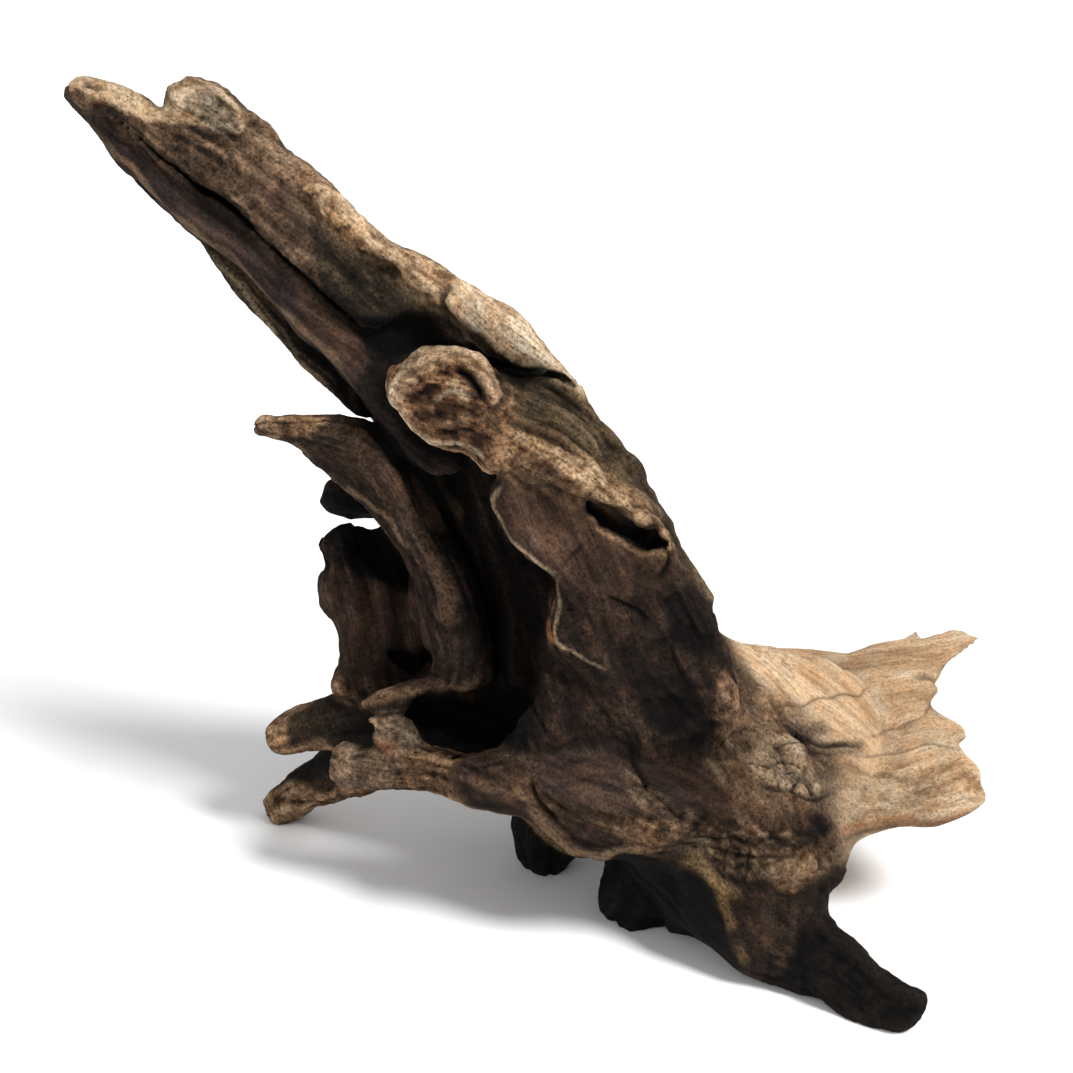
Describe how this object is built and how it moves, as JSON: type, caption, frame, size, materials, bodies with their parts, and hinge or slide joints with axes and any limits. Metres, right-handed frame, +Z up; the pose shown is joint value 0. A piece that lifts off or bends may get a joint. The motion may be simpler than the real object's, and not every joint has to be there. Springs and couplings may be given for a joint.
{
  "type": "aquarium driftwood",
  "caption": "Weathered root stump that stands on its root tips, with a long split spar, a hollow front with a curved rib, and a broad thin fan of wood to one side.",
  "frame": {"origin": "centre of the bounding box in plan, on the floor that the root tips stand on", "axes": "+Z up; +X towards the fan, away from the spar's tip; -Y is the hollow front that faces the viewer"},
  "size_m": [0.3012, 0.1668, 0.2678],
  "materials": {
    "spar_wood": "weathered grey-brown, pitted",
    "trunk_wood": "weathered dark brown with paler rims",
    "fan_wood": "bleached tan, fine grained",
    "root_wood": "dark brown bark-like"
  },
  "bodies": {
    "root": {"trunk": "trunk_wood", "spar": "spar_wood", "side_spike": "spar_wood", "fan": "fan_wood", "front_root": "root_wood", "rear_root": "root_wood", "left_root": "root_wood"}
  },
  "joints": []
}
